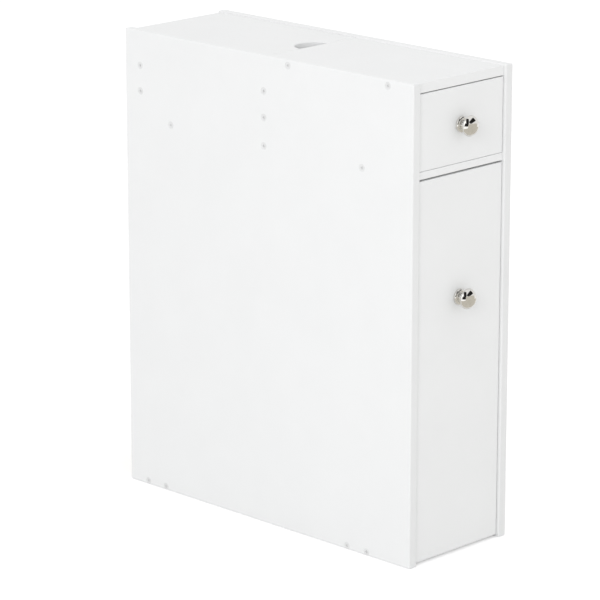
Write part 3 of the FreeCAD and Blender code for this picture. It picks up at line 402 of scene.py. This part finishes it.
def knob_profile(radius, reach, bore_depth):
    """The knob's outline as radius and distance from the front, from its bolt's bore round to it again."""
    foot = FOOT_RADIUS_SHARE * radius
    edge = Vector((foot, FOOT_EDGE_SHARE * reach))
    shoulder = Vector((FOOT_CROWN_SHARE * radius, FOOT_REACH_SHARE * reach))
    neck = Vector((NECK_RADIUS_SHARE * radius, NECK_REACH_SHARE * reach))
    rim_back = Vector((RIM_SHARE * radius, RIM_BACK_SHARE * reach))
    rim_front = Vector((RIM_SHARE * radius, RIM_FRONT_SHARE * reach))
    points = [Vector((BOLT_BORE_RADIUS, 0)), Vector((foot, 0)), edge]
    points += arc(edge, shoulder, -FULL_ROUND)
    points += arc(shoulder, neck, FULL_ROUND)
    points += arc(neck, rim_back, FULL_ROUND)
    points += arc(rim_back, rim_front, -RIM_ROUND)
    points += arc(rim_front, Vector((0, reach)), -CROWN_ROUND)
    points += [Vector((0, bore_depth)), Vector((BOLT_BORE_RADIUS, bore_depth))]
    return points


def turned_ring(mesh, point):
    """The corners all round at one point of an outline, or a single one where it lies on the axis."""
    if point.x < ON_AXIS:
        return [mesh.verts.new((0, -point.y, 0))]
    ring = []
    for step in range(KNOB_TURN_STEPS):
        turn = 2 * math.pi * step / KNOB_TURN_STEPS
        ring.append(mesh.verts.new((point.x * math.cos(turn), -point.y, point.x * math.sin(turn))))
    return ring


def join_rings(mesh, first, second):
    """Faces all round between two rings. Where one is a single corner, they are triangles."""
    if len(first) == 1 and len(second) == 1:
        return
    for step in range(KNOB_TURN_STEPS):
        following = (step + 1) % KNOB_TURN_STEPS
        corners = [first[step % len(first)], first[following % len(first)],
                   second[following % len(second)], second[step % len(second)]]
        mesh.faces.new(list(dict.fromkeys(corners)))


def turned_form(name, profile):
    """A closed form turned about the Y axis, standing out along -Y."""
    mesh = bmesh.new()
    rings = [turned_ring(mesh, point) for point in profile]
    for first, second in zip(rings, rings[1:] + rings[:1]):
        join_rings(mesh, first, second)
    bmesh.ops.recalc_face_normals(mesh, faces=mesh.faces)
    data = bpy.data.meshes.new(name)
    mesh.to_mesh(data)
    mesh.free()
    data.shade_smooth()
    data.set_sharp_from_angle(angle=SHARP_ANGLE)
    return add_object(name, data)


def turned_knob(kind, materials):
    """A smooth chrome knob in the place of the plain one."""
    node = f"{kind}_knob"
    low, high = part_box(node)
    bolt_low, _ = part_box(f"{kind}_knob_bolt")
    radius = (high.x - low.x) / 2
    profile = knob_profile(radius, high.y - low.y, high.y - bolt_low.y)
    knob = turned_form(f"{kind}_turned_knob", profile)
    knob.location = ((low.x + high.x) / 2, high.y, (low.z + high.z) / 2)
    knob.data.materials.append(materials["knob_chrome"])
    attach(knob, BODY_OF[node])
    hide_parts(node)


def light_path(n):
    """1 for what the camera sees, directly, in a mirror or through glass, and 0 for what lights things."""
    rays = n.add("ShaderNodeLightPath").outputs
    seen = n.maths("MAXIMUM", rays["Is Camera Ray"], rays["Is Glossy Ray"])
    return n.maths("MAXIMUM", seen, rays["Is Transmission Ray"])


def make_floor():
    """A pale floor that shows white and keeps the cabinet's shadow."""
    corners = [(-FLOOR_REACH, -FLOOR_REACH, 0), (FLOOR_REACH, -FLOOR_REACH, 0),
               (FLOOR_REACH, FLOOR_REACH, 0), (-FLOOR_REACH, FLOOR_REACH, 0)]
    floor = add_surface("floor", corners, [(0, 1, 2, 3)])
    made, n = material("floor")
    tone = n.blend(n.noise(size=0.4, detail=2), *FLOOR_TONES)
    plain = n.add("ShaderNodeBsdfDiffuse", {"Color": tone}).outputs["BSDF"]
    glow = n.add("ShaderNodeEmission", {"Color": (*WHITE, 1), "Strength": FLOOR_LIFT}).outputs["Emission"]
    lifted = n.add("ShaderNodeAddShader", {0: plain, 1: glow}).outputs["Shader"]
    mixed = n.add("ShaderNodeMixShader", {0: light_path(n), 1: plain, 2: lifted}).outputs["Shader"]
    floor.data.materials.append(finish_with(made, n, mixed))


def make_card():
    """A warm grey sheet that lies on the floor and bends up. It shows in reflections only."""
    bend_start = Vector((CARD_BACK + CARD_BEND, CARD_LIFT))
    profile = [Vector((CARD_START, CARD_LIFT)), bend_start]
    profile += arc(bend_start, Vector((CARD_BACK, CARD_LIFT + CARD_BEND)), -FULL_ROUND)
    profile.append(Vector((CARD_BACK, CARD_TOP)))
    points = [(x, point.x, point.y) for point in profile for x in CARD_SIDES]
    faces = [(2 * row, 2 * row + 1, 2 * row + 3, 2 * row + 2) for row in range(len(profile) - 1)]
    card = add_surface("card", points, faces)
    made, n = material("card")
    colour = n.blend(n.noise(size=0.5, detail=2), *CARD_TONES)
    shown = n.add("ShaderNodeEmission", {"Color": colour}).outputs["Emission"]
    card.data.materials.append(finish_with(made, n, shown))
    for kind in CARD_HIDDEN_FROM:
        setattr(card, f"visible_{kind}", False)


def panel_mask(n, azimuth, elevation, half_width, half_height):
    """1 on a flat panel in the room and 0 beside it."""
    middle = heading(azimuth, elevation)
    across = Vector((math.cos(azimuth), math.sin(azimuth), 0))
    upwards = middle.cross(across)
    towards = n.add("ShaderNodeTexCoord").outputs["Generated"]

    def share_of(direction):
        inputs = {0: towards, 1: direction}
        return n.add("ShaderNodeVectorMath", inputs, operation="DOT_PRODUCT").outputs["Value"]

    ahead = share_of(middle)
    mask = n.maths("GREATER_THAN", ahead, 0.0)
    for direction, half in ((across, math.tan(half_width)), (upwards, math.tan(half_height))):
        offset = n.maths("ABSOLUTE", n.maths("DIVIDE", share_of(direction), ahead))
        inside = half * (1 - PANEL_SOFTNESS)
        outside = half * (1 + PANEL_SOFTNESS)
        mask = n.maths("MULTIPLY", mask, n.carry(offset, 1, 0, inside, outside))
    return mask


def make_world():
    """An even white room. Reflections also show a few studio panels in it."""
    world = bpy.data.worlds.new("room")
    bpy.context.scene.world = world
    world.use_nodes = True
    n = Nodes(world.node_tree)
    room = n.add("ShaderNodeBackground", {"Color": (*WHITE, 1), "Strength": ROOM_LIGHT})
    mirrored = n.add("ShaderNodeLightPath").outputs["Is Glossy Ray"]
    walls = WHITE
    for *angles, brightness in STUDIO_PANELS:
        mask = n.maths("MULTIPLY", mirrored, panel_mask(n, *map(math.radians, angles)))
        walls = n.blend(mask, walls, (brightness,) * 3)
    shown = n.add("ShaderNodeBackground", {"Color": walls, "Strength": 1.0})
    mixed = n.add("ShaderNodeMixShader", {
        0: light_path(n), 1: room.outputs["Background"], 2: shown.outputs["Background"]})
    n.add("ShaderNodeOutputWorld", {"Surface": mixed.outputs["Shader"]})


def make_key_light():
    """One large soft lamp in front of the cabinet, to its left and above it."""
    data = bpy.data.lights.new("key", "AREA")
    data.size = KEY_SIZE
    data.energy = KEY_POWER
    lamp = add_object("key", data)
    lamp.location = KEY_PLACE
    aim(lamp, (CAD_LOW + CAD_HIGH) / 2 - KEY_PLACE)
    lamp.visible_glossy = False


def make_camera():
    data = bpy.data.cameras.new("camera")
    data.lens = LENS_MM
    data.sensor_width = SENSOR_MM
    camera = add_object("camera", data)
    back = heading(VIEW_AZIMUTH, VIEW_ELEVATION)
    camera.location = VIEW_TARGET + back * VIEW_DISTANCE
    aim(camera, -back)
    bpy.context.scene.camera = camera


def make_scene():
    materials = all_materials()
    dress_nodes(materials)
    for kind in KNOB_KINDS:
        turned_knob(kind, materials)
    make_floor()
    make_card()
    make_world()
    make_key_light()
    make_camera()
    bpy.context.scene.view_settings.view_transform = "Standard"


make_scene()
